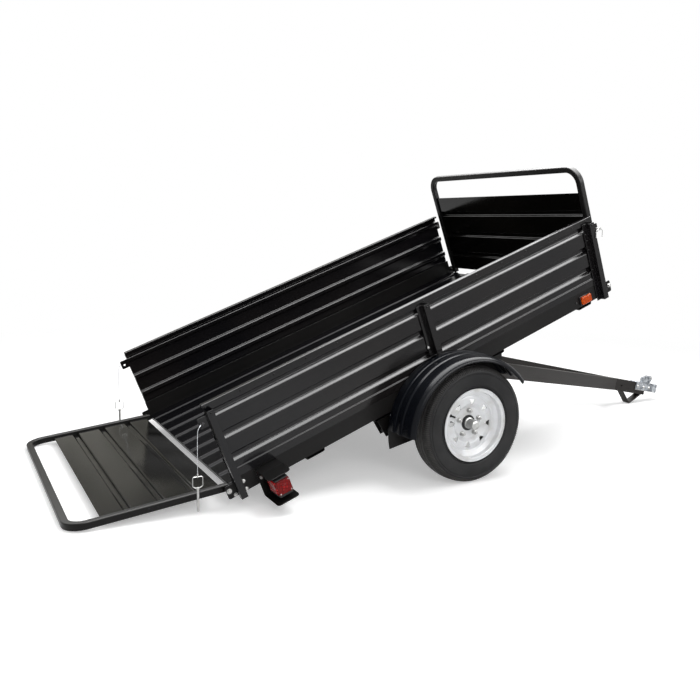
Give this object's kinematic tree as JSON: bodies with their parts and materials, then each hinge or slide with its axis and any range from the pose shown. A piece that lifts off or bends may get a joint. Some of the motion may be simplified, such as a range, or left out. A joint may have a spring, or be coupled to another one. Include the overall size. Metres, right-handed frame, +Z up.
{
  "type": "tilt-bed utility trailer",
  "caption": "Steel utility trailer with a tilting ribbed bed, a folding gate at each end, leaf-sprung wheels under fenders and a pivoted A-frame tongue with a ball coupler.",
  "frame": {"origin": "on the ground under the middle of the whole trailer", "axes": "+X towards the tongue's coupler, +Y to the trailer's left, +Z up"},
  "size_m": [3.8883, 1.72, 1.4398],
  "materials": {
    "black_coat": "gloss black powder coat on pressed steel",
    "black_chassis": "satin black",
    "fender_coat": "gloss black",
    "tongue_coat": "satin black powder coat",
    "tyre_rubber": "bias trailer tyre",
    "white_wheel": "gloss white",
    "hub_black": "satin black",
    "zinc": "bright zinc plate",
    "red_lens": "clear red",
    "amber_lens": "clear amber",
    "wire": "coated wire"
  },
  "bodies": {
    "bed": {"floor_rear": "black_coat", "floor_front": "black_coat", "wall_rear_left": "black_coat", "wall_rear_right": "black_coat", "wall_front_left": "black_coat", "wall_front_right": "black_coat", "side_rail_left": "black_coat", "side_rail_right": "black_coat", "rear_sill": "black_coat", "front_sill": "black_coat", "crossmembers": "black_coat", "posts_left": "black_coat", "posts_right": "black_coat", "hinge_brackets_left": "black_coat", "hinge_brackets_right": "black_coat", "axle": "black_chassis", "spring_left": "black_chassis", "spring_right": "black_chassis", "hangers_left": "black_chassis", "hangers_right": "black_chassis", "pivot_brackets": "black_chassis", "fender_left": "fender_coat", "fender_right": "fender_coat", "lamp_guard_left": "black_coat", "lamp_guard_right": "black_coat", "tail_lamp_left": "red_lens", "tail_lamp_right": "red_lens", "side_marker_left": "amber_lens", "side_marker_right": "amber_lens", "lanyard_rear_left": "wire", "lanyard_rear_right": "wire", "pin_rear_left": "zinc", "pin_rear_right": "zinc", "pin_front_left": "zinc", "pin_front_right": "zinc"},
    "tongue": {"tongue_rail_left": "tongue_coat", "tongue_rail_right": "tongue_coat", "tongue_tube": "tongue_coat", "coupler": "zinc", "coupler_latch": "zinc", "tongue_foot": "tongue_coat"},
    "rear_gate": {"rear_gate_frame": "black_coat", "rear_gate_panel": "black_coat"},
    "front_gate": {"front_gate_frame": "black_coat", "front_gate_panel": "black_coat"},
    "wheel_left": {"tyre_left": "tyre_rubber", "rim_left": "white_wheel", "hub_left": "hub_black"},
    "wheel_right": {"tyre_right": "tyre_rubber", "rim_right": "white_wheel", "hub_right": "hub_black"}
  },
  "joints": [
    {"name": "wheel_left_spin", "type": "hinge", "parent": "bed", "child": "wheel_left", "pos_m": [-0.2302, 0.767, 0.2665], "axis": [0, 1, 0], "continuous": true},
    {"name": "wheel_right_spin", "type": "hinge", "parent": "bed", "child": "wheel_right", "pos_m": [-0.2302, -0.767, 0.2665], "axis": [0, 1, 0], "continuous": true},
    {"name": "rear_gate_hinge", "type": "hinge", "parent": "bed", "child": "rear_gate", "pos_m": [-1.32403, 0, 0.08465], "axis": [0, 1, 0], "range_deg": [-64, 75.65]},
    {"name": "front_gate_hinge", "type": "hinge", "parent": "bed", "child": "front_gate", "pos_m": [0.70227, 0, 0.85559], "axis": [0, 1, 0], "range_deg": [0, 85]},
    {"name": "tongue_tilt", "type": "hinge", "parent": "bed", "child": "tongue", "pos_m": [0.06644, 0, 0.44998], "axis": [0, -1, 0], "range_deg": [0, 36.79]}
  ]
}
